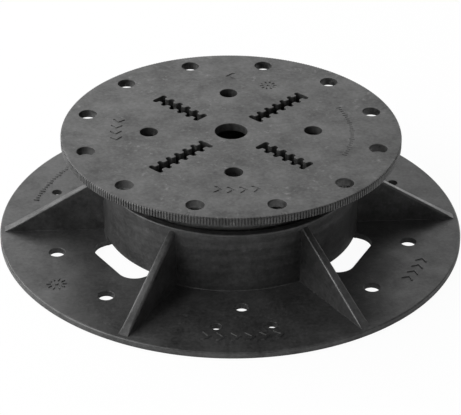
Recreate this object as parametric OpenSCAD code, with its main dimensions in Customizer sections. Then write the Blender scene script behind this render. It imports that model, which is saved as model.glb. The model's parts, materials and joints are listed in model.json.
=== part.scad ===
// Adjustable decking pedestal: a flanged base with a threaded collar, and a
// perforated head whose tube screws into that collar to set the deck's height.
// Millimetres, +Z up, origin on the ground at the centre of the base.

/* [Base flange] */
// Diameter of the base
base_d = 200; // [180:1:240]
// Height of the flange, from the ground to its top face
flange_h = 2.8; // [2.7:0.1:4]
// Thickness of the flange and of the floor inside the collar
flange_t = 2.6; // [1.6:0.1:2.6]
// Width of the lip that the edge of the flange stands on
flange_lip_w = 3; // [2:0.1:6]
// Rounding of the top edge of the flange
flange_round = 0.8; // [0.2:0.1:1.5]

/* [Collar] */
// Outside diameter of the collar that holds the head
collar_d = 110; // [108:1:120]
// Wall thickness of the collar
collar_wall = 3.2; // [2.4:0.1:4]
// Height of the collar's rim above the ground
collar_h = 30; // [28:0.5:31]
// Rounding of the collar's rim
collar_round = 0.6; // [0.2:0.1:1]
// Fillet between the collar and the flange
collar_fillet = 1.2; // [0.4:0.1:2]

/* [Gussets] */
// Number of gussets round the collar
gusset_count = 6; // [4:2:6]
// Thickness of a gusset at its top
gusset_t = 3.2; // [2:0.1:5]
// Draft on each side of a gusset, in degrees
gusset_draft = 1.3; // [0:0.1:2]
// Fillet between a gusset and the flange
gusset_fillet = 1; // [0.4:0.1:2]
// Drop from the collar's rim to the top of a gusset
gusset_drop = 1.6; // [0.8:0.1:6]
// Distance from the edge of the flange to the toe of a gusset
gusset_toe_gap = 2; // [1.5:0.1:8]

/* [Drain windows] */
// Reach of a window outside the collar
window_reach = 7.2; // [6:0.1:10]
// Reach of a window inside the collar's outer face
window_inset = 7.5; // [6:0.1:9]
// Length of a window
window_l = 33.6; // [24:0.2:36]
// Corner radius at the outer ends of a window
window_corner = 7.5; // [3:0.1:8]
// Height to which a window cuts into the collar, above the flange
window_notch = 2; // [0.6:0.1:4]

/* [Base holes] */
// Diameter of the fixing holes beside each window
fixing_hole_d = 6.8; // [5:0.1:9]
// Radius at which the fixing holes lie
fixing_hole_r = 78; // [74:0.5:84]
// Half angle between the two fixing holes of a window
fixing_hole_angle = 15; // [11:0.5:19]
// Diameter of the nail hole in each sector without a window
nail_hole_d = 5.6; // [3:0.1:8]
// Radius at which that nail hole lies
nail_hole_r = 67.2; // [65:0.1:74]
// Diameter of the pair of small holes in that sector
pair_hole_d = 4.4; // [3:0.1:7]
// Radius at which the pair lies
pair_hole_r = 81.4; // [79:0.1:88]
// Half angle between the two holes of the pair
pair_hole_angle = 8; // [5:0.5:15]

/* [Head disc] */
// Diameter of the head
head_d = 145; // [142:1:160]
// Height of the head's top face above the ground, as it is set
head_h = 48.2; // [44:0.1:50]
// Height of the grip rim round the head
head_rim_h = 4; // [3.2:0.1:6]
// Width of the grip rim, seen from below
head_rim_w = 3; // [2:0.1:4]
// Thickness of the head's plate inside the rim
head_t = 3.6; // [2:0.1:3.8]
// Rounding of the head's top edge
head_round = 0.5; // [0.2:0.1:1]
// Number of grip teeth round the rim
grip_teeth = 360; // [120:6:360]
// Depth of the grooves between the grip teeth
grip_depth = 0.5; // [0.2:0.1:0.8]
// Step between the grooves and the rounded edge above them
grip_step = 0.2; // [0.1:0.1:0.4]
// Angle to which the head is turned
head_turn = -2.1; // [-15:0.1:15]

/* [Head tube] */
// Radial play between the tube and the collar
tube_play = 0.3; // [0.2:0.05:0.5]
// Wall thickness of the tube
tube_wall = 3; // [2:0.1:4]
// Length of the tube below the plate
tube_l = 27.5; // [24:0.1:30]
// Fillet between the tube and the plate
tube_fillet = 1; // [0.4:0.1:2]

/* [Head holes] */
// Diameter of the hole in the centre
centre_hole_d = 14; // [8:0.1:20]
// Diameter of the screw holes
screw_hole_d = 7.8; // [4:0.1:9]
// Number of screw holes near the rim
rim_hole_count = 12; // [6:1:16]
// Distance from the edge of the head to the middles of the screw holes near the rim
rim_hole_edge = 9; // [8.5:0.1:10]
// Pitch circle of the four inner screw holes
inner_hole_pcd = 70; // [56:0.5:78]

/* [Serrated slots] */
// Cross cuts in the two longer slots; the two shorter ones have one less
slot_cuts = 7; // [5:1:7]
// Distance from one cross cut to the next
slot_pitch = 4.9; // [4:0.1:5]
// Radius at which the middle of a slot lies
slot_mid_r = 30.4; // [29:0.1:31]
// Length of a cross cut
slot_cut_l = 7.4; // [5:0.1:9]
// Width of a cross cut
slot_cut_w = 2.4; // [1.6:0.1:3]
// Width of the channel that joins the cross cuts
slot_channel_w = 3.2; // [2:0.1:4]

/* [Hidden] */
$fn = 96;
eps = 0.5;
plastic = [0.2, 0.2, 0.2];

// Base
base_r = base_d / 2;
collar_r = collar_d / 2;
bore_r = collar_r - collar_wall;
sector = 360 / gusset_count;
gusset_top = collar_h - gusset_drop;
gusset_toe_r = base_r - gusset_toe_gap;
gusset_root = flange_h - flange_t / 2;
gusset_foot = gusset_t / 2 + (gusset_top - flange_h) * tan(gusset_draft);
window_h = flange_h + window_notch;
window_in = collar_r - window_inset;
window_out = collar_r + window_reach;

// Head
head_r = head_d / 2;
rim_hole_r = head_r - rim_hole_edge;
disc_r = head_r - grip_depth - grip_step;
tube_r = bore_r - tube_play;
tube_bore_r = tube_r - tube_wall;
plate_z = head_h - head_t;
tube_z = plate_z - tube_l;
inner_hole_count = 4;
slot_count = 4;

function polar(r, a) = [r * cos(a), r * sin(a)];

// Points along an arc, from one angle to another.
function arc(centre, radius, from, to, steps = 6) = [
    for (i = [0:steps])
        centre + polar(radius, from + (to - from) * i / steps)
];

// A hole through z0 to z1, at a radius and an angle.
module hole_at(r, angle, d, z0, z1) {
    translate(concat(polar(r, angle), [z0 - eps]))
        cylinder(d = d, h = z1 - z0 + 2 * eps);
}

// Section of the floor, the collar and the flange, from the ground up.
module base_section() {
    polygon(concat(
        [
            [0, flange_h - flange_t],
            [bore_r, flange_h - flange_t],
            [bore_r, 0],
            [collar_r, 0],
            [collar_r, flange_h - flange_t],
            [base_r - flange_lip_w, flange_h - flange_t],
            [base_r - flange_lip_w, 0],
            [base_r, 0]
        ],
        arc([base_r - flange_round, flange_h - flange_round], flange_round, 0, 90),
        arc([collar_r + collar_fillet, flange_h + collar_fillet], collar_fillet, 270, 180),
        arc([collar_r - collar_round, collar_h - collar_round], collar_round, 0, 90),
        [[bore_r, collar_h], [bore_r, flange_h], [0, flange_h]]
    ));
}

// Side view of a gusset, from inside the collar's wall to its toe.
module gusset_side() {
    polygon([
        [collar_r - collar_wall / 2, gusset_root],
        [gusset_toe_r, gusset_root],
        [gusset_toe_r, flange_h],
        [collar_r, gusset_top],
        [collar_r - collar_wall / 2, gusset_top]
    ]);
}

// Cross section of a gusset at the collar: drafted sides and filleted feet.
module gusset_section() {
    right = concat(
        [[gusset_foot + gusset_fillet, gusset_root]],
        arc([gusset_foot + gusset_fillet, flange_h + gusset_fillet], gusset_fillet, 270, 180, 3),
        [[gusset_t / 2, gusset_top]]
    );
    left = [for (i = [len(right) - 1:-1:0]) [-right[i][0], right[i][1]]];
    polygon(concat(right, left));
}

// Gusset along +X: its side view, cut to its cross section.
module gusset() {
    intersection() {
        rotate([90, 0, 0])
            linear_extrude(height = 3 * (gusset_foot + gusset_fillet), center = true)
                gusset_side();
        rotate([90, 0, 90])
            linear_extrude(height = base_r)
                gusset_section();
    }
}

// Drain window about +X, with a straight outer edge and round corners: it opens
// the flange, the floor and the foot of the collar.
module window_cut() {
    half = window_l / 2;
    corner = [window_out - window_corner, half - window_corner];
    translate([0, 0, -eps])
        linear_extrude(height = window_h + eps)
            polygon(concat(
                [[window_in, -half]],
                arc([corner[0], -corner[1]], window_corner, -90, 0, 12),
                arc(corner, window_corner, 0, 90, 12),
                [[window_in, half]]
            ));
}

module base() {
    color(plastic)
    difference() {
        union() {
            rotate_extrude()
                base_section();
            for (i = [0:gusset_count - 1])
                rotate(i * sector)
                    gusset();
        }
        for (i = [0:gusset_count - 1]) {
            middle = (i - 0.5) * sector;
            if (i % 2 == 0) {
                rotate(middle)
                    window_cut();
                for (s = [-1, 1])
                    hole_at(fixing_hole_r, middle + s * fixing_hole_angle, fixing_hole_d, 0, flange_h);
            } else {
                hole_at(nail_hole_r, middle, nail_hole_d, 0, flange_h);
                for (s = [-1, 1])
                    hole_at(pair_hole_r, middle + s * pair_hole_angle, pair_hole_d, 0, flange_h);
            }
        }
    }
}

// Section of the head: plate, grip rim and tube.
module head_section() {
    rim_z = head_h - head_rim_h;
    polygon(concat(
        [[0, plate_z]],
        arc([tube_bore_r - tube_fillet, plate_z - tube_fillet], tube_fillet, 90, 0),
        [[tube_bore_r, tube_z], [tube_r, tube_z]],
        arc([tube_r + tube_fillet, plate_z - tube_fillet], tube_fillet, 180, 90),
        [
            [head_r - head_rim_w, plate_z],
            [head_r - head_rim_w, rim_z],
            [disc_r, rim_z]
        ],
        arc([disc_r - head_round, head_h - head_round], head_round, 0, 90),
        [[0, head_h]]
    ));
}

// Ring of grip teeth round the rim, up to its rounded edge.
module grip_ring() {
    tooth = 360 / grip_teeth;
    translate([0, 0, head_h - head_rim_h])
        linear_extrude(height = head_rim_h - head_round)
            difference() {
                polygon([
                    for (i = [0:grip_teeth - 1], s = [0, 1])
                        polar(head_r - s * grip_depth, (i + s / 2) * tooth)
                ]);
                circle(r = head_r - head_rim_w / 2);
            }
}

// Slot with a row of cross cuts, along +X.
module serrated_slot(cuts) {
    length = (cuts - 1) * slot_pitch;
    first = slot_mid_r - length / 2;
    depth = head_t + 2 * eps;
    reach = (slot_cut_l - slot_cut_w) / 2;
    translate([first, -slot_channel_w / 2, 0])
        cube([length, slot_channel_w, depth]);
    for (i = [0:cuts - 1])
        translate([first + i * slot_pitch, 0, 0]) {
            translate([-slot_cut_w / 2, -reach, 0])
                cube([slot_cut_w, 2 * reach, depth]);
            for (s = [-1, 1])
                translate([0, s * reach, 0])
                    cylinder(d = slot_cut_w, h = depth);
        }
}

module head() {
    color(plastic)
    rotate(head_turn)
    difference() {
        union() {
            rotate_extrude()
                head_section();
            grip_ring();
        }
        hole_at(0, 0, centre_hole_d, plate_z, head_h);
        for (i = [0:inner_hole_count - 1])
            hole_at(inner_hole_pcd / 2, i * 360 / inner_hole_count, screw_hole_d, plate_z, head_h);
        for (i = [0:rim_hole_count - 1])
            hole_at(rim_hole_r, (i + 0.5) * 360 / rim_hole_count, screw_hole_d, plate_z, head_h);
        for (i = [0:slot_count - 1])
            rotate((i + 0.5) * 360 / slot_count)
                translate([0, 0, plate_z - eps])
                    serrated_slot(slot_cuts - i % 2);
    }
}

base();
head();
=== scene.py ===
"""Looks of an adjustable decking pedestal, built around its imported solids."""

import json
import math

import bmesh
import bpy
from mathutils import Matrix, Vector


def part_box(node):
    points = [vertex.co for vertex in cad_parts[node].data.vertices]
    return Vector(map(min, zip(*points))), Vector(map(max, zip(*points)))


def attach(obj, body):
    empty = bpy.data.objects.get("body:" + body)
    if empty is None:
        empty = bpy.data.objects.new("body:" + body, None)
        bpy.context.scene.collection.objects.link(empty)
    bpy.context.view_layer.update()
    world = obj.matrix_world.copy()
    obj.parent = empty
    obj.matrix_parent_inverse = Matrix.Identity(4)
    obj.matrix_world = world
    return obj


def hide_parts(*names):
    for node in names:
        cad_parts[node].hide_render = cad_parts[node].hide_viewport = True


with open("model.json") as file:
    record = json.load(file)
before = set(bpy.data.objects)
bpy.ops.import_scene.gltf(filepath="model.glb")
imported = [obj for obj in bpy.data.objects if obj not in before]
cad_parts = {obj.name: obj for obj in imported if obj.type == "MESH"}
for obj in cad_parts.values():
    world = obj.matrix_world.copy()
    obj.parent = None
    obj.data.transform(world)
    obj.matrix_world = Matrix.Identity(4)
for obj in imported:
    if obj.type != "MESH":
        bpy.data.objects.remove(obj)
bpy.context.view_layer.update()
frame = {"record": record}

MM = 0.001
MOUNTS = {mount["name"]: mount for mount in frame["record"]["mounts"]}


def mount_mm(name, size):
    """A size of one of the record's mounts, in millimetres."""
    return MOUNTS[name]["dims"][size]


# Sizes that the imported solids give, in millimetres
BASE_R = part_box("base")[1][0] / MM
COLLAR_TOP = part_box("base")[1][2] / MM
HEAD_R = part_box("head")[1][0] / MM
HEAD_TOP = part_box("head")[1][2] / MM
TUBE_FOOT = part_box("head")[0][2] / MM
FLANGE_TOP = MOUNTS["nail_holes"]["pos_m"][2] / MM
NAIL_HOLE_R = mount_mm("nail_holes", "pcd_mm") / 2
PLATE_UNDER = HEAD_TOP - mount_mm("centre_hole", "length_mm")
RIM_HOLE_R = mount_mm("rim_screw_holes", "pcd_mm") / 2
INNER_HOLE_R = mount_mm("inner_screw_holes", "pcd_mm") / 2

# Flange: its thickness and edge, and the middles of the sectors without a window
FLANGE_T = 2.6
FLANGE_UNDER = FLANGE_TOP - FLANGE_T
FLANGE_COLUMNS = 288
LIP_W = 3
LIP_R = BASE_R - LIP_W
EDGE_ROUND = 0.7
FOOT_ROUND = 0.3
PLAIN_MIDDLES = (30, 150, 270)

# Collar, with the faint sink marks outside it
COLLAR_R = 55
COLLAR_FILLET = 0.4
COLLAR_COLUMNS = 180
COLLAR_ROW_H = 0.6
RIM_ROUND = 0.6
BORE_R = 51.8
BORE_CHAMFER = 0.5
BORE_COVE = 0.6
SINK_DEPTH = 0.07
SINK_FADE_LOW = 3
SINK_FADE_HIGH = 2

# Windows at the foot of the collar
WINDOW_MIDDLES = (-30, 90, 210)
WINDOW_IN = COLLAR_R - 7.5
WINDOW_OUT = COLLAR_R + 7.2
WINDOW_HALF = 16.8
WINDOW_CORNER = 7.5
WINDOW_IN_CORNER = 0.5
WINDOW_STEPS = 12
WINDOW_TOP = FLANGE_TOP + 2
WINDOW_LOW = -1

# Gussets: the last values place the sections along each one
GUSSETS = 6
GUSSET_HALF = 1.6
GUSSET_TOP = COLLAR_TOP - 1.6
GUSSET_TOE_R = BASE_R - 2
GUSSET_TOE_H = 0.03
GUSSET_ROOT = 0.8
GUSSET_INSET = 1.2
GUSSET_DRAFT = math.tan(math.radians(1.3))
GUSSET_FILLET = 0.15
GUSSET_FILLET_SHARE = 0.5
GUSSET_EDGE = 1.0
GUSSET_EDGE_SHARE = 0.4
GUSSET_OVERLAP = 0.01
GUSSET_FLARE = (0, 0.2, 0.5, 1)
GUSSET_END = 3
GUSSET_STEP = 4
GUSSET_TOE_STEPS = (1.5, 0.5, 0)

# Head: its turn on the base, and the grip rim, whose teeth grow out of a plain edge
HEAD_TURN = -2.1
HEAD_RIM_H = 4.0
HEAD_LIP_R = HEAD_R - 3
GRIP_TEETH = 360
GRIP_CREST_HALF = 0.27
GRIP_ROOT_FROM = 0.41
GRIP_ROOT_TO = 0.59
GRIP_DEPTH = 0.5
GRIP_STEP = 0.2
GRIP_EDGE = 0.5
GRIP_BEVEL_H = 0.14
GRIP_BEVEL_CREST = 0.25
GRIP_BEVEL_ROOT = 0.15
GRIP_FADE = 0.05
GRIP_FOOT_RISE = 0.75
GRIP_UNDER_RISE = 0.35
GRIP_UNDER_CREST = 0.4
GRIP_UNDER_ROOT = 0.5

# Tube under the plate
TUBE_R = 51.5
TUBE_BORE_R = 48.5
TUBE_FILLET = 1.0
TUBE_CHAMFER = 0.5
TUBE_COLUMNS = 144

# Holes and serrated slots of the head
CIRCLE_STEPS = 44
CENTRE_HOLE_STEPS = 64
HOLE_ROUND = 0.18
SLOT_CUTS = (7, 6, 7, 6)
SLOT_TURN = 45
SLOT_PITCH = 4.9
SLOT_MIDDLE_R = 30.4
SLOT_CUT_L = 7.4
SLOT_CUT_W = 2.4
SLOT_CHANNEL_W = 3.2
SLOT_TOOTH_ROUND = 0.75
SLOT_END_SHARE = 0.95

# Thread of the collar and of the tube: pitch, depth and groove across one pitch
THREAD_PITCH = 5.3
THREAD_DEPTH = 1.4
THREAD_RUNOUT = 2.5
THREAD_SNAP = 0.001
THREAD_GROOVE = (
    (0.00, 0.0), (0.40, 0.0), (0.44, 0.1), (0.54, 0.9),
    (0.58, 1.0), (0.82, 1.0), (0.86, 0.9), (0.96, 0.1),
)

# Marks that say nothing: rows of chevrons, plain scales and dials
MARK_RISE = 0.35
MARK_SINK = 0.3
MARK_DRAFT = 0.12
MARK_STEPS = 2
BAR_CORNER = 0.25
SCALE_BAR_W = 0.6
SCALE_LONG_EVERY = 4
CHEVRON_CORNER = 0.2
DIAL_TICKS = 10
DIAL_TICK_W = 0.8
DIAL_DOT_STEPS = 12

# Proportions of the marks, as shares of the size that each one is given
SCALE_LONG_BAR = 1.6
CHEVRON_BAR = 0.3
CHEVRON_TIP = 0.75
CHEVRON_PITCH = 1.05
DIAL_TICK_L = 0.22
DIAL_TICK_R = 0.37
DIAL_DOT_R = 0.1

# Plastic: the plain colour's place on its ramp, the spans of noise that are used, how
# far gloss and roughness swing, and the skin's bump, whose height is in millimetres
PLASTIC_IOR = 1.6
PLASTIC_TONE = 0.2
NOISE_SPAN = (0.3, 0.7)
SPECK_SPAN = (0.56, 0.74)
PATCH_SPAN = (0.42, 0.6)
PATCH_LEAST = 0.1
GLOSS_MIDDLE = 0.5
GLOSS_SWING = 0.4
ROUGHNESS_SWING = 0.08
SKIN_FINE = 0.5
SKIN_STRENGTH = 0.15
SKIN_HEIGHT = 0.4

# Smooth shading: edges sharper than this stay edges
SHARP_ANGLE = 40
NORMAL_WEIGHT = 100

# Camera, in millimetres and degrees, for a picture of 461 by 415
CAMERA_TURN = 4.2
CAMERA_ELEVATION = 30.171
CAMERA_ROLL = 0.488
CAMERA_DISTANCE = 908.5
CAMERA_TARGET_Z = 20
CAMERA_LENS = 164.1
CAMERA_SENSOR = 36
CAMERA_SHIFT = (-0.00034, -0.04137)
CAMERA_CLIP = 20000

# Lamps: name, direction and height they shine from in degrees, distance and side in
# metres, and power in watts
LAMPS = (
    ("lamp_left", 186, 25, 1.3, 1.6, 19.5),
    ("lamp_front_left", 207, 37, 1.3, 0.4, 3.2),
    ("lamp_back_left", 132, 36, 1.3, 0.5, 3.8),
    ("lamp_back", 108, 31, 1.6, 1.7, 7.7),
    ("lamp_back_right", 58, 14, 1.3, 0.45, 1.5),
)
WORLD_FILL = 0.35

# Share of plain white that the background shows to each kind of ray
WORLD_WHITE = {"Is Camera Ray": 1.0, "Is Transmission Ray": 1.0, "Is Glossy Ray": WORLD_FILL}
FLOOR_WHITE = {"Is Camera Ray": 0.95, "Is Transmission Ray": 0.95, "Is Glossy Ray": 0.1}
FLOOR_PAINT = 0.9
FLOOR_HALF = 3000
FLOOR_DROP = 0.02


def polar(radius, degrees):
    """A point at a radius and an angle."""
    angle = math.radians(degrees)
    return (radius * math.cos(angle), radius * math.sin(angle))


def arc(centre, radius, start, end, steps):
    """Points from one angle to another about a centre, both ends included."""
    spokes = [polar(radius, start + (end - start) * i / steps) for i in range(steps + 1)]
    return [(centre[0] + x, centre[1] + y) for x, y in spokes]


def circle(radius, centre=(0, 0), steps=CIRCLE_STEPS):
    """A counterclockwise ring of points."""
    return arc(centre, radius, 0, 360, steps)[:-1]


def turned(points, degrees):
    """The points turned about the origin."""
    c = math.cos(math.radians(degrees))
    s = math.sin(math.radians(degrees))
    return [(x * c - y * s, x * s + y * c) for x, y in points]


def angles_round(count):
    """Evenly spaced angles, all the way round."""
    return [360 * i / count for i in range(count)]


def rows(low, high, step):
    """Numbers from low to high, evenly spaced by about step."""
    count = max(1, round((high - low) / step))
    return [low + (high - low) * i / count for i in range(count + 1)]


def edge_round(radius, steps=3):
    """Offsets (side, drop) round an outer edge, from a flat top to an upright side."""
    angles = [math.radians(90 * i / steps) for i in range(steps + 1)]
    return [(radius * (1 - math.sin(a)), radius * (1 - math.cos(a))) for a in angles]


def cove(radius, steps=4):
    """Offsets (side, rise) round an inner corner, from an upright face to a flat one."""
    angles = [math.radians(90 * i / steps) for i in range(steps + 1)]
    return [(radius * (1 - math.cos(a)), radius * (1 - math.sin(a))) for a in angles]


def rounded(corners, steps=4):
    """A closed outline from (x, y, radius) corners, each rounded by its own radius."""
    outline = []
    count = len(corners)
    for i, (x, y, radius) in enumerate(corners):
        here = Vector((x, y))
        before = (Vector(corners[i - 1][:2]) - here).normalized()
        after = (Vector(corners[(i + 1) % count][:2]) - here).normalized()
        half = before.angle(after) / 2
        centre = here + (before + after).normalized() * (radius / math.sin(half))
        start = here + before * (radius / math.tan(half)) - centre
        end = here + after * (radius / math.tan(half)) - centre
        first = math.degrees(math.atan2(start.y, start.x))
        sweep = (math.degrees(math.atan2(end.y, end.x)) - first + 180) % 360 - 180
        outline += arc(tuple(centre), radius, first, first + sweep, steps)
    return outline


def grown(outline, distance, least_mitre=0.5):
    """A counterclockwise outline moved outwards by a distance."""
    moved = []
    for i, point in enumerate(outline):
        here = Vector(point)
        before = (here - Vector(outline[i - 1])).normalized()
        after = (Vector(outline[(i + 1) % len(outline)]) - here).normalized()
        normal = Vector((before.y + after.y, -before.x - after.x)).normalized()
        mitre = max(least_mitre, normal.dot(Vector((after.y, -after.x))))
        moved.append(tuple(here + normal * (distance / mitre)))
    return moved


class Shell:
    """A mesh in the making, in millimetres."""

    def __init__(self):
        self.bm = bmesh.new()

    def ring(self, points, z):
        """Vertices over flat points; z is one height or one for each point."""
        heights = z if isinstance(z, list) else [z] * len(points)
        return [self.bm.verts.new((x, y, h)) for (x, y), h in zip(points, heights)]

    def rings(self, profile, columns):
        """Round rings of vertices, one for each radius and height of a profile."""
        return [self.ring(circle(radius, steps=columns), z) for radius, z in profile]

    def face(self, verts):
        """A face through the verts, leaving out repeats."""
        corners = list(dict.fromkeys(verts))
        if len(corners) > 2:
            self.bm.faces.new(corners)

    def strip(self, low, high):
        """Faces between two rings of vertices of the same length."""
        count = len(low)
        for i in range(count):
            j = (i + 1) % count
            self.face((low[i], low[j], high[j], high[i]))

    def stack(self, rings):
        """Faces between each ring and the next."""
        for low, high in zip(rings, rings[1:]):
            self.strip(low, high)

    def cap(self, *loops):
        """A flat face inside the first loop and outside the others."""
        edges = []
        for loop in loops:
            for i, vert in enumerate(loop):
                pair = (vert, loop[(i + 1) % len(loop)])
                edges.append(self.bm.edges.get(pair) or self.bm.edges.new(pair))
        bmesh.ops.triangle_fill(self.bm, use_beauty=True, edges=edges)

    def hole(self, outline, top, bottom):
        """The wall of a hole with rounded edges; gives its top and bottom rings."""
        edges = edge_round(HOLE_ROUND)
        rings = [self.ring(grown(outline, side), top - drop) for side, drop in edges]
        rings += [self.ring(grown(outline, side), bottom + drop) for side, drop in edges[::-1]]
        self.stack(rings)
        return rings[0], rings[-1]

    def mark(self, outline, z, rise):
        """A raised or sunk shape on a flat face; gives the loop that the face leaves out."""
        foot = self.ring(outline, z)
        crest = self.ring(grown(outline, -MARK_DRAFT), z + rise)
        self.strip(foot, crest)
        self.cap(crest)
        return foot

    def mesh(self, name):
        """The shell as a mesh in metres, its faces turned outwards."""
        bmesh.ops.recalc_face_normals(self.bm, faces=self.bm.faces[:])
        bmesh.ops.scale(self.bm, vec=(MM, MM, MM), verts=self.bm.verts[:])
        mesh = bpy.data.meshes.new(name)
        self.bm.to_mesh(mesh)
        self.bm.free()
        return mesh


def add_piece(name, mesh):
    """An object of the scene with that mesh."""
    obj = bpy.data.objects.new(name, mesh)
    bpy.context.scene.collection.objects.link(obj)
    return obj


def combined(obj, other, operation):
    """Joins a second closed object to the first one, or cuts it away, and removes it."""
    step = obj.modifiers.new("step", "BOOLEAN")
    step.operation = operation
    step.solver = "EXACT"
    step.object = other
    graph = bpy.context.evaluated_depsgraph_get()
    mesh = bpy.data.meshes.new_from_object(obj.evaluated_get(graph))
    obj.modifiers.clear()
    obj.data = mesh
    bpy.data.objects.remove(other)


def dress(obj, body, material):
    """Smooth shading, the material, and the body that the piece belongs to, whose imported solid it
    hides.
    """
    obj.data.shade_smooth()
    obj.data.set_sharp_from_angle(angle=math.radians(SHARP_ANGLE))
    weighted = obj.modifiers.new("weighted_normals", "WEIGHTED_NORMAL")
    weighted.keep_sharp = True
    weighted.weight = NORMAL_WEIGHT
    obj.data.materials.clear()
    obj.data.materials.append(material)
    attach(obj, body)
    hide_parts(body)


def thread_phase(z, degrees):
    """Share of a pitch at which the helix stands at a height and an angle."""
    return (z / THREAD_PITCH - degrees / 360) % 1


def faded(z, low, high, low_length, high_length):
    """A share that runs out to nothing at two heights, over a length at each."""
    return min(1, max(0, (z - low) / low_length), max(0, (high - z) / high_length))


def groove(z, degrees, span):
    """Depth of the thread at a height and an angle, run out at both of its ends."""
    phase = thread_phase(z, degrees)
    points = THREAD_GROOVE + ((1.0, 0.0),)
    depth = 0
    for (a, depth_a), (b, depth_b) in zip(points, points[1:]):
        if a <= phase <= b:
            depth = depth_a + (depth_b - depth_a) * (phase - a) / (b - a)
    return THREAD_DEPTH * depth * faded(z, *span, THREAD_RUNOUT, THREAD_RUNOUT)


def threaded(shell, radius, way, span, columns):
    """A threaded face all round; gives its lowest and highest rings.

    Its rows of vertices follow the helix and stop at the two heights of the span. way
    is 1 where the groove is cut outwards and -1 where it is cut inwards.
    """
    low, high = span
    turns = angles_round(columns)
    first = math.floor(low / THREAD_PITCH - turns[-1] / 360) - 1
    last = math.ceil(high / THREAD_PITCH - turns[0] / 360)
    steps = [(turn, share) for turn in range(first, last + 1) for share, _ in THREAD_GROOVE]

    def vert(degrees, z):
        x, y = polar(radius + way * groove(z, degrees, span), degrees)
        return shell.bm.verts.new((x, y, z))

    bottom = [vert(t, low) for t in turns]
    top = [vert(t, high) for t in turns]
    sides = []
    for i, t in enumerate(turns):
        side = {}
        for turn, share in steps:
            z = (turn + share + t / 360) * THREAD_PITCH
            if z < low + THREAD_SNAP:
                side[turn, share] = bottom[i]
            elif z > high - THREAD_SNAP:
                side[turn, share] = top[i]
            else:
                side[turn, share] = vert(t, z)
        sides.append(side)
    # The first column again, one turn of the helix further on
    closing = {(turn, share): sides[0].get((turn + 1, share), top[0]) for turn, share in steps}
    for here, beside in zip(sides, sides[1:] + [closing]):
        for a, b in zip(steps, steps[1:]):
            shell.face((here[a], beside[a], beside[b], here[b]))
    return bottom, top


def serrated_slot(cuts):
    """Outline of a slot along +X with a row of cross cuts."""
    first = SLOT_MIDDLE_R - (cuts - 1) * SLOT_PITCH / 2
    half_w = SLOT_CUT_W / 2
    half_l = SLOT_CUT_L / 2
    half_c = SLOT_CHANNEL_W / 2
    end_round = half_w * SLOT_END_SHARE
    upper = []
    for i in range(cuts):
        x = first + i * SLOT_PITCH
        if i > 0:
            upper.append((x - half_w, half_c, SLOT_TOOTH_ROUND))
        upper.append((x - half_w, half_l, end_round))
        upper.append((x + half_w, half_l, end_round))
        if i < cuts - 1:
            upper.append((x + half_w, half_c, SLOT_TOOTH_ROUND))
    lower = [(x, -y, radius) for x, y, radius in upper]
    return rounded(lower + upper[::-1])


def bar_outline(radius, degrees, length, width):
    """Outline of a bar with round corners, its length along the radius."""
    signs = ((-1, -1), (1, -1), (1, 1), (-1, 1))
    corners = [(radius + sx * length / 2, sy * width / 2, BAR_CORNER) for sx, sy in signs]
    return turned(rounded(corners, MARK_STEPS), degrees)


def scale_mark(radius, start, end, step, length):
    """Outlines of a plain scale along an arc, with some of its bars longer."""
    outlines = []
    for i in range(round((end - start) / step) + 1):
        bar = length * (SCALE_LONG_BAR if i % SCALE_LONG_EVERY == 0 else 1)
        outlines.append(bar_outline(radius, start + i * step, bar, SCALE_BAR_W))
    return outlines


def chevron_row(radius, middle, size, count):
    """Outlines of a row of chevrons along an arc."""
    half = size / 2
    bar = size * CHEVRON_BAR
    tip = half * CHEVRON_TIP
    foot = tip - half
    shape = [
        (half, foot - bar), (half, foot), (0, tip),
        (-half, foot), (-half, foot - bar), (0, tip - bar),
    ]
    outline = rounded([(radius + x, y, CHEVRON_CORNER) for x, y in shape], MARK_STEPS)
    pitch = math.degrees(size * CHEVRON_PITCH / radius)
    return [turned(outline, middle + pitch * (i - (count - 1) / 2)) for i in range(count)]


def dial_mark(radius, degrees, size):
    """Outlines of a mould's date dial without figures: a ring of ticks and a dot."""
    x, y = polar(radius, degrees)
    outlines = [circle(size * DIAL_DOT_R, (x, y), DIAL_DOT_STEPS)]
    for turn in angles_round(DIAL_TICKS):
        tick = bar_outline(size * DIAL_TICK_R, turn, size * DIAL_TICK_L, DIAL_TICK_W)
        outlines.append([(x + tx, y + ty) for tx, ty in tick])
    return outlines


def grip_ring(crest, root):
    """Points round the grip rim, with its teeth."""
    tooth = (
        (-GRIP_CREST_HALF, crest), (GRIP_CREST_HALF, crest),
        (GRIP_ROOT_FROM, root), (GRIP_ROOT_TO, root),
    )
    pitch = 360 / GRIP_TEETH
    points = []
    for i in range(GRIP_TEETH):
        points += [polar(r, HEAD_TURN + pitch * (i + share)) for share, r in tooth]
    return points


def screw_holes(name, radius, first):
    """Outlines of a circle of screw holes; first is where it starts, as a share of a step."""
    hole_r = mount_mm(name, "hole_r_mm")
    count = mount_mm(name, "count")
    turns = [HEAD_TURN + 360 * (i + first) / count for i in range(count)]
    return [circle(hole_r, polar(radius, turn)) for turn in turns]


def head_holes():
    """Outlines of the holes in the head: those inside the tube and those outside it."""
    inner = [circle(mount_mm("centre_hole", "r_mm"), steps=CENTRE_HOLE_STEPS)]
    inner += screw_holes("inner_screw_holes", INNER_HOLE_R, first=0)
    for cuts, turn in zip(SLOT_CUTS, angles_round(len(SLOT_CUTS))):
        inner.append(turned(serrated_slot(cuts), HEAD_TURN + SLOT_TURN + turn))
    return inner, screw_holes("rim_screw_holes", RIM_HOLE_R, first=0.5)


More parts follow.
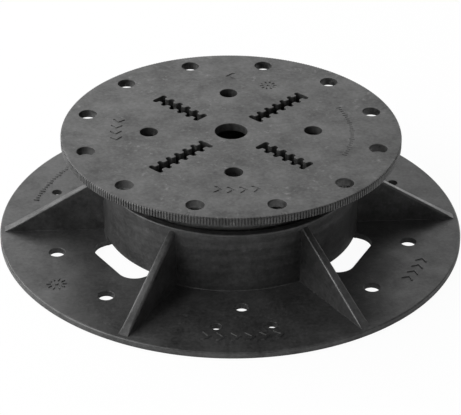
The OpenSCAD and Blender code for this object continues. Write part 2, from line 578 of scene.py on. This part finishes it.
def head_rim(shell):
    """The grip rim; gives its rings at the head's top face and at its underside."""
    low = HEAD_TOP - HEAD_RIM_H
    root = HEAD_R - GRIP_DEPTH
    step = root - GRIP_STEP
    profile = [
        (step, step, HEAD_TOP),
        (HEAD_R - GRIP_BEVEL_CREST, step + GRIP_BEVEL_ROOT, HEAD_TOP - GRIP_BEVEL_H),
        (HEAD_R, root + GRIP_FADE, HEAD_TOP - GRIP_EDGE),
        (HEAD_R, root, HEAD_TOP - 2 * GRIP_EDGE),
        (HEAD_R, root, low + GRIP_FOOT_RISE),
        (step - GRIP_UNDER_CREST, step - GRIP_UNDER_ROOT, low + GRIP_UNDER_RISE),
        (HEAD_LIP_R, HEAD_LIP_R, low),
        (HEAD_LIP_R, HEAD_LIP_R, PLATE_UNDER),
    ]
    rings = [shell.ring(grip_ring(crest, valley), z) for crest, valley, z in profile]
    shell.stack(rings)
    return rings[0], rings[-1]


def head_tube(shell):
    """The threaded tube; gives its outer and inner rings under the plate."""
    span = (TUBE_FOOT + TUBE_CHAMFER, PLATE_UNDER - TUBE_FILLET)
    foot = shell.rings([(TUBE_R - TUBE_CHAMFER, TUBE_FOOT)], TUBE_COLUMNS)
    thread_low, thread_high = threaded(shell, TUBE_R, -1, span, TUBE_COLUMNS)
    shell.strip(foot[0], thread_low)
    corner = [(TUBE_R + side, PLATE_UNDER - rise) for side, rise in cove(TUBE_FILLET)[1:]]
    outside = [thread_high] + shell.rings(corner, TUBE_COLUMNS)
    shell.stack(outside)
    bore = [(TUBE_BORE_R + TUBE_CHAMFER, TUBE_FOOT), (TUBE_BORE_R, TUBE_FOOT + TUBE_CHAMFER)]
    bore += [(TUBE_BORE_R - side, PLATE_UNDER - rise) for side, rise in cove(TUBE_FILLET)]
    inside = foot + shell.rings(bore, TUBE_COLUMNS)
    shell.stack(inside)
    return outside[-1], inside[-1]


def head_marks():
    """Marks sunk into the head's top face."""
    marks = chevron_row(radius=49.7, middle=-91, size=5, count=4)
    marks += scale_mark(radius=51.5, start=-27, end=21, step=2, length=1.6)
    marks += dial_mark(radius=45.5, degrees=64.8, size=8)
    marks += chevron_row(radius=49, middle=175.5, size=5, count=4)
    marks += chevron_row(radius=51.4, middle=86.3, size=6, count=1)
    return marks


def head_shell():
    """The head: perforated plate, grip rim and threaded tube."""
    shell = Shell()
    inner, outer = head_holes()
    top, under = head_rim(shell)
    inner_walls = [shell.hole(outline, HEAD_TOP, PLATE_UNDER) for outline in inner]
    outer_walls = [shell.hole(outline, HEAD_TOP, PLATE_UNDER) for outline in outer]
    sunk = [shell.mark(outline, HEAD_TOP, -MARK_SINK) for outline in head_marks()]
    outside, inside = head_tube(shell)
    shell.cap(top, *[wall[0] for wall in inner_walls + outer_walls], *sunk)
    shell.cap(under, outside, *[wall[1] for wall in outer_walls])
    shell.cap(inside, *[wall[1] for wall in inner_walls])
    return shell


def windows():
    """The drain windows as closed prisms to be cut out of the base."""
    inner = [(WINDOW_IN, side * WINDOW_HALF, WINDOW_IN_CORNER) for side in (-1, 1)]
    outer = [(WINDOW_OUT, side * WINDOW_HALF, WINDOW_CORNER) for side in (-1, 1)]
    outline = rounded([inner[0], outer[0], outer[1], inner[1]], WINDOW_STEPS)
    shell = Shell()
    for middle in WINDOW_MIDDLES:
        placed = turned(outline, middle)
        low = shell.ring(placed, WINDOW_LOW)
        high = shell.ring(placed, WINDOW_TOP)
        shell.strip(low, high)
        shell.face(low)
        shell.face(high)
    return shell


def base_holes():
    """Outlines of the fixing, nail and small holes of the flange."""
    holes = []
    for name, mount in MOUNTS.items():
        if name.startswith(("fixing_hole", "small_hole")):
            x, y, _ = mount["pos_m"]
            holes.append(circle(mount["dims"]["r_mm"], (x / MM, y / MM)))
    nail_r = mount_mm("nail_holes", "hole_r_mm")
    return holes + [circle(nail_r, polar(NAIL_HOLE_R, middle)) for middle in PLAIN_MIDDLES]


def base_marks():
    """Marks raised on the flange's top face."""
    marks = chevron_row(radius=88.5, middle=-90.6, size=5.6, count=6)
    marks += scale_mark(radius=88, start=143, end=164, step=1.3125, length=1.8)
    marks += dial_mark(radius=88, degrees=-149.2, size=9)
    marks += chevron_row(radius=86.4, middle=-29, size=5, count=4)
    return marks


def sink(z, degrees):
    """Depth of the faint sink marks that the thread leaves outside the collar."""
    wave = (1 + math.cos(2 * math.pi * thread_phase(z, degrees))) / 2
    fade = faded(z, WINDOW_TOP, COLLAR_TOP - RIM_ROUND, SINK_FADE_LOW, SINK_FADE_HIGH)
    return SINK_DEPTH * wave * fade


def collar(shell):
    """The threaded collar and the floor inside it; gives its ring on the flange's top face."""
    turns = angles_round(COLLAR_COLUMNS)
    fillet = cove(COLLAR_FILLET)[::-1]
    foot = [(COLLAR_R + side, FLANGE_TOP + rise) for side, rise in fillet]
    outside = shell.rings(foot, COLLAR_COLUMNS)
    for z in rows(FLANGE_TOP + COLLAR_FILLET, COLLAR_TOP - RIM_ROUND, COLLAR_ROW_H)[1:]:
        outside.append(shell.ring([polar(COLLAR_R - sink(z, t), t) for t in turns], z))
    edge = edge_round(RIM_ROUND)[-2::-1]
    rim = [(COLLAR_R - side, COLLAR_TOP - drop) for side, drop in edge]
    outside += shell.rings(rim + [(BORE_R + BORE_CHAMFER, COLLAR_TOP)], COLLAR_COLUMNS)
    span = (FLANGE_TOP + BORE_COVE, COLLAR_TOP - BORE_CHAMFER)
    thread_low, thread_high = threaded(shell, BORE_R, 1, span, COLLAR_COLUMNS)
    shell.stack(outside + [thread_high])
    corner = [(BORE_R - side, FLANGE_TOP + rise) for side, rise in cove(BORE_COVE)[1:]]
    inside = [thread_low] + shell.rings(corner, COLLAR_COLUMNS)
    shell.stack(inside)
    shell.cap(inside[-1])
    return outside[0]


def flange(shell, collar_ring):
    """The flange, with its holes and marks, and the underside of the base."""
    walls = [shell.hole(outline, FLANGE_TOP, FLANGE_UNDER) for outline in base_holes()]
    raised = [shell.mark(outline, FLANGE_TOP, MARK_RISE) for outline in base_marks()]
    profile = [(BASE_R - side, FLANGE_TOP - drop) for side, drop in edge_round(EDGE_ROUND, steps=4)]
    profile += [(BASE_R, FOOT_ROUND), (BASE_R - FOOT_ROUND, 0), (LIP_R, 0), (LIP_R, FLANGE_UNDER)]
    edge = shell.rings(profile, FLANGE_COLUMNS)
    shell.stack(edge)
    standing = [(COLLAR_R, FLANGE_UNDER), (COLLAR_R, 0), (BORE_R, 0), (BORE_R, FLANGE_UNDER)]
    foot = shell.rings(standing, COLLAR_COLUMNS)
    shell.stack(foot)
    shell.cap(edge[0], collar_ring, *[wall[0] for wall in walls], *raised)
    shell.cap(edge[-1], foot[0], *[wall[1] for wall in walls])
    shell.cap(foot[-1])


def gusset_section(r):
    """Outline across a gusset at a radius: drafted sides, rounded crest and filleted feet."""
    slope = (GUSSET_TOP - FLANGE_TOP) / (GUSSET_TOE_R - COLLAR_R)
    out = max(0, r - COLLAR_R)
    crest = max(FLANGE_TOP + GUSSET_TOE_H, GUSSET_TOP - slope * out)
    height = crest - FLANGE_TOP
    near = max(0, 1 - out / GUSSET_FILLET)
    flare = GUSSET_FILLET * (1 - math.sqrt(max(0, 1 - near * near)))
    fillet = min(GUSSET_FILLET, height * GUSSET_FILLET_SHARE)
    edge = min(GUSSET_EDGE, height * GUSSET_EDGE_SHARE)
    half = GUSSET_HALF + (GUSSET_TOP - crest) * GUSSET_DRAFT + flare
    foot = half + height * GUSSET_DRAFT
    ground = FLANGE_TOP - GUSSET_OVERLAP
    side = [(foot + fillet, FLANGE_TOP - GUSSET_ROOT)]
    side += [(foot + across, ground + rise) for across, rise in cove(fillet)[::-1]]
    side += [(half - across, crest - drop) for across, drop in edge_round(edge, steps=4)[::-1]]
    return side + [(-y, z) for y, z in side[::-1]]


def gussets():
    """The gussets round the collar, each a closed shell."""
    shell = Shell()
    stations = [COLLAR_R - GUSSET_INSET]
    stations += [COLLAR_R + GUSSET_FILLET * share for share in GUSSET_FLARE]
    stations += rows(COLLAR_R + GUSSET_END, GUSSET_TOE_R - GUSSET_END, GUSSET_STEP)
    stations += [GUSSET_TOE_R - back for back in GUSSET_TOE_STEPS]
    for turn in angles_round(GUSSETS):
        sections = []
        for r in stations:
            outline = gusset_section(r)
            flat = turned([(r, y) for y, _ in outline], turn)
            sections.append(shell.ring(flat, [z for _, z in outline]))
        shell.stack(sections)
        shell.face(sections[0])
        shell.face(sections[-1])
    return shell


def maths(tree, kind, a, b):
    """A node that works out one number from two others."""
    node = tree.nodes.new("ShaderNodeMath")
    node.operation = kind
    for socket, value in zip(node.inputs, (a, b)):
        if isinstance(value, (int, float)):
            socket.default_value = value
        else:
            tree.links.new(value, socket)
    return node.outputs["Value"]


def plastic(name, colour, roughness, mottle, scuffs):
    """Moulded dark plastic: cloudy colour and gloss, a fine skin and patches of pale scuffs."""
    material = bpy.data.materials.new(name)
    material.use_nodes = True
    tree = material.node_tree
    nodes = tree.nodes
    links = tree.links
    shader = nodes["Principled BSDF"]
    shader.inputs["IOR"].default_value = PLASTIC_IOR
    place = nodes.new("ShaderNodeTexCoord").outputs["Object"]

    def noise(scale, detail, rough=0.6):
        node = nodes.new("ShaderNodeTexNoise")
        node.inputs["Scale"].default_value = scale
        node.inputs["Detail"].default_value = detail
        node.inputs["Roughness"].default_value = rough
        links.new(place, node.inputs["Vector"])
        return node.outputs["Fac"]

    def spread(value, span, low, high):
        node = nodes.new("ShaderNodeMapRange")
        sockets = ("From Min", "From Max", "To Min", "To Max")
        for socket, number in zip(sockets, (*span, low, high)):
            node.inputs[socket].default_value = number
        links.new(value, node.inputs["Value"])
        return node.outputs["Result"]

    def about(value, middle, swing):
        return spread(value, NOISE_SPAN, middle - swing, middle + swing)

    cloud = about(noise(scale=60, detail=5), 0, mottle)
    grain = about(noise(scale=700, detail=3), 0, mottle)
    specks = spread(noise(scale=330, detail=6, rough=0.7), SPECK_SPAN, 0, scuffs)
    patches = spread(noise(scale=45, detail=3), PATCH_SPAN, PATCH_LEAST, 1)
    swing = maths(tree, "MULTIPLY", maths(tree, "ADD", cloud, grain), PLASTIC_TONE)
    tone = maths(tree, "ADD", swing, PLASTIC_TONE)
    tone = maths(tree, "ADD", tone, maths(tree, "MULTIPLY", specks, patches))
    ramp = nodes.new("ShaderNodeValToRGB")
    ramp.color_ramp.elements[0].color = (0, 0, 0, 1)
    ramp.color_ramp.elements[1].color = (*[c / PLASTIC_TONE for c in colour], 1)
    links.new(tone, ramp.inputs["Fac"])
    links.new(ramp.outputs["Color"], shader.inputs["Base Color"])
    clouds = noise(scale=110, detail=6, rough=0.65)
    gloss = about(clouds, GLOSS_MIDDLE, GLOSS_SWING * mottle)
    links.new(gloss, shader.inputs["Specular IOR Level"])
    rough = about(noise(scale=90, detail=5), roughness, ROUGHNESS_SWING)
    links.new(rough, shader.inputs["Roughness"])
    fine = maths(tree, "MULTIPLY", noise(scale=1400, detail=2), SKIN_FINE)
    skin = maths(tree, "ADD", fine, noise(scale=160, detail=4))
    bump = nodes.new("ShaderNodeBump")
    bump.inputs["Strength"].default_value = SKIN_STRENGTH
    bump.inputs["Distance"].default_value = SKIN_HEIGHT * MM
    links.new(skin, bump.inputs["Height"])
    links.new(bump.outputs["Normal"], shader.inputs["Normal"])
    return material


def build_head():
    """The head as one moulding."""
    colour = (0.034, 0.034, 0.0335)
    material = plastic("head_plastic", colour, roughness=0.41, mottle=0.52, scuffs=0.8)
    obj = add_piece("head_moulding", head_shell().mesh("head_moulding"))
    dress(obj, "head", material)


def build_base():
    """The base as one moulding."""
    colour = (0.029, 0.029, 0.029)
    material = plastic("base_plastic", colour, roughness=0.39, mottle=0.45, scuffs=0.3)
    shell = Shell()
    flange(shell, collar(shell))
    obj = add_piece("base_moulding", shell.mesh("base_moulding"))
    combined(obj, add_piece("gussets", gussets().mesh("gussets")), "UNION")
    combined(obj, add_piece("windows", windows().mesh("windows")), "DIFFERENCE")
    dress(obj, "base", material)


def seen(tree, shares):
    """The share of white that a ray is shown, by its kind; none for rays of light."""
    rays = tree.nodes.new("ShaderNodeLightPath")
    total = 0
    for name, share in shares.items():
        part = maths(tree, "MULTIPLY", rays.outputs[name], share)
        total = maths(tree, "MAXIMUM", part, total)
    return total


def add_floor():
    """A pale floor that shows white and keeps the object's shadow; clear from below."""
    bm = bmesh.new()
    bmesh.ops.create_grid(bm, x_segments=1, y_segments=1, size=FLOOR_HALF * MM)
    mesh = bpy.data.meshes.new("floor")
    bm.to_mesh(mesh)
    bm.free()
    floor = add_piece("floor", mesh)
    floor.location.z = -FLOOR_DROP * MM
    material = bpy.data.materials.new("floor_white")
    material.use_nodes = True
    tree = material.node_tree
    tree.nodes.clear()

    def mixed(share, first, second):
        node = tree.nodes.new("ShaderNodeMixShader")
        for socket, value in zip(node.inputs, (share, first, second)):
            tree.links.new(value, socket)
        return node.outputs["Shader"]

    paint = tree.nodes.new("ShaderNodeBsdfDiffuse")
    paint.inputs["Color"].default_value = (FLOOR_PAINT, FLOOR_PAINT, FLOOR_PAINT, 1)
    glow = tree.nodes.new("ShaderNodeEmission")
    clear = tree.nodes.new("ShaderNodeBsdfTransparent")
    below = tree.nodes.new("ShaderNodeNewGeometry")
    white = mixed(seen(tree, FLOOR_WHITE), paint.outputs["BSDF"], glow.outputs["Emission"])
    sides = mixed(below.outputs["Backfacing"], white, clear.outputs["BSDF"])
    output = tree.nodes.new("ShaderNodeOutputMaterial")
    tree.links.new(sides, output.inputs["Surface"])
    mesh.materials.append(material)


def add_world():
    """A white studio: dimmer as a light than as a background."""
    world = bpy.data.worlds.new("studio")
    world.use_nodes = True
    tree = world.node_tree
    background = tree.nodes["Background"]
    background.inputs["Color"].default_value = (1, 1, 1, 1)
    strength = maths(tree, "MAXIMUM", seen(tree, WORLD_WHITE), WORLD_FILL)
    tree.links.new(strength, background.inputs["Strength"])
    bpy.context.scene.world = world


def add_lamps():
    """Soft square lamps that face the object."""
    for name, direction, height, distance, side, power in LAMPS:
        data = bpy.data.lights.new(name, "AREA")
        data.size = side
        data.energy = power
        lamp = bpy.data.objects.new(name, data)
        x, y = polar(math.cos(math.radians(height)), direction)
        towards = Vector((x, y, math.sin(math.radians(height))))
        lamp.location = towards * distance
        lamp.rotation_euler = towards.to_track_quat("Z", "Y").to_euler()
        bpy.context.scene.collection.objects.link(lamp)


def add_camera():
    """The camera of the photograph."""
    turn = math.radians(CAMERA_TURN)
    elevation = math.radians(CAMERA_ELEVATION)
    level = Vector((math.sin(turn), math.cos(turn), 0))
    look = level * math.cos(elevation) - Vector((0, 0, math.sin(elevation)))
    right = Vector((level.y, -level.x, 0))
    up = right.cross(look)
    roll = math.radians(CAMERA_ROLL)
    across = right * math.cos(roll) + up * math.sin(roll)
    upright = up * math.cos(roll) - right * math.sin(roll)
    data = bpy.data.cameras.new("camera")
    data.sensor_width = CAMERA_SENSOR
    data.lens = CAMERA_LENS
    data.shift_x, data.shift_y = CAMERA_SHIFT
    data.clip_end = CAMERA_CLIP * MM
    camera = bpy.data.objects.new("camera", data)
    place = Vector((0, 0, CAMERA_TARGET_Z * MM)) - look * CAMERA_DISTANCE * MM
    facing = Matrix((across, upright, -look)).transposed().to_4x4()
    camera.matrix_world = Matrix.Translation(place) @ facing
    bpy.context.scene.collection.objects.link(camera)
    bpy.context.scene.camera = camera


build_head()
build_base()
add_floor()
add_world()
add_lamps()
add_camera()
bpy.context.scene.view_settings.view_transform = "Standard"
